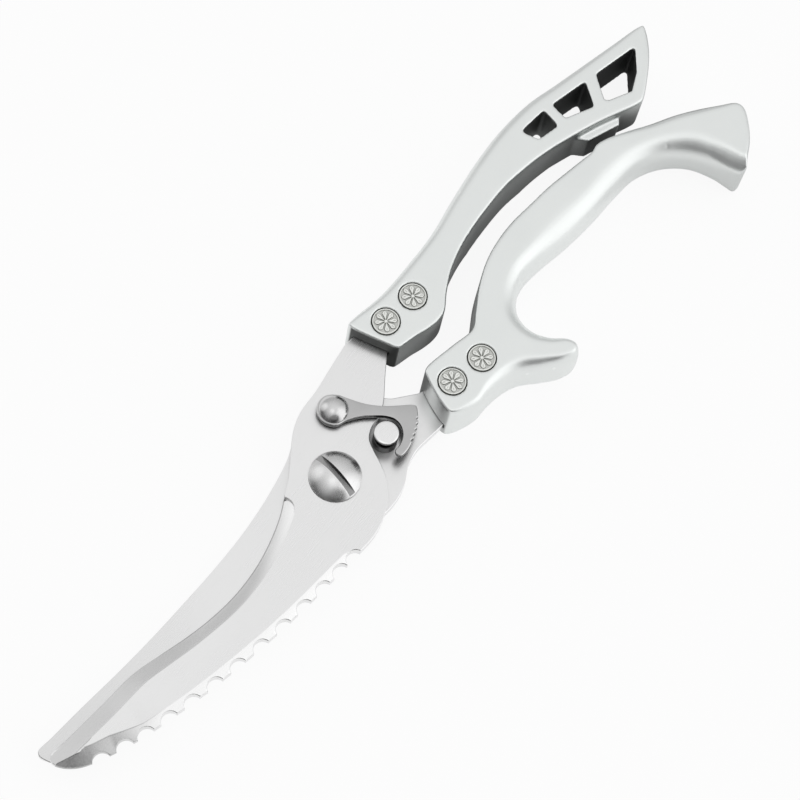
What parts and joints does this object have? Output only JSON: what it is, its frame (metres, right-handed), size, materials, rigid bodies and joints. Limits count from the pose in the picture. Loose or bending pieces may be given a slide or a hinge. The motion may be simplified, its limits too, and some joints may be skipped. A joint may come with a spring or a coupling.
{
  "type": "poultry shears",
  "caption": "Poultry shears with crossed curved blades, scalloped scaler spine, stud latch, screw pivot and cast pistol-grip handles.",
  "frame": {"origin": "centre of the pivot nut's flat rear face, on the pivot axis", "axes": "+X from the pivot towards the handles, +Y towards the upper handle, +Z along the pivot axis towards the screw head"},
  "size_m": [0.2612, 0.0598, 0.017],
  "materials": {
    "cast_handle": "bead-blasted satin",
    "blade_steel": "fine brushed, ground bevels",
    "latch_steel": "satin stamped sheet",
    "polished_steel": "polished",
    "rosette_nickel": "antiqued nickel, dark in the recesses",
    "spring_steel": "drawn wire"
  },
  "bodies": {
    "rear_half": {"rear_blade": "blade_steel", "lower_handle": "cast_handle", "lower_fore_post": "rosette_nickel", "lower_aft_post": "rosette_nickel", "lower_fore_screw": "polished_steel", "lower_aft_screw": "polished_steel", "stop_stud": "polished_steel", "pivot_screw": "polished_steel", "pivot_nut": "polished_steel", "pivot_washer": "spring_steel", "pivot_spring": "spring_steel"},
    "front_half": {"front_blade": "blade_steel", "upper_handle": "cast_handle", "upper_fore_post": "rosette_nickel", "upper_aft_post": "rosette_nickel", "upper_fore_screw": "polished_steel", "upper_aft_screw": "polished_steel", "latch_rivet": "polished_steel", "latch_washer": "polished_steel"},
    "latch": {"latch_lever": "latch_steel"}
  },
  "joints": [
    {"name": "blade_pivot", "type": "hinge", "parent": "rear_half", "child": "front_half", "pos_m": [0, 0, 0.006], "axis": [0, 0, 1], "range_deg": [0, 25]},
    {"name": "latch_swing", "type": "hinge", "parent": "front_half", "child": "latch", "pos_m": [0.0138, 0.0113, 0.0104], "axis": [0, 0, 1], "range_deg": [0, 40]}
  ],
  "couplings": [
    {"joint": "latch_swing", "follows": "blade_pivot", "ratio": 1.6}
  ]
}
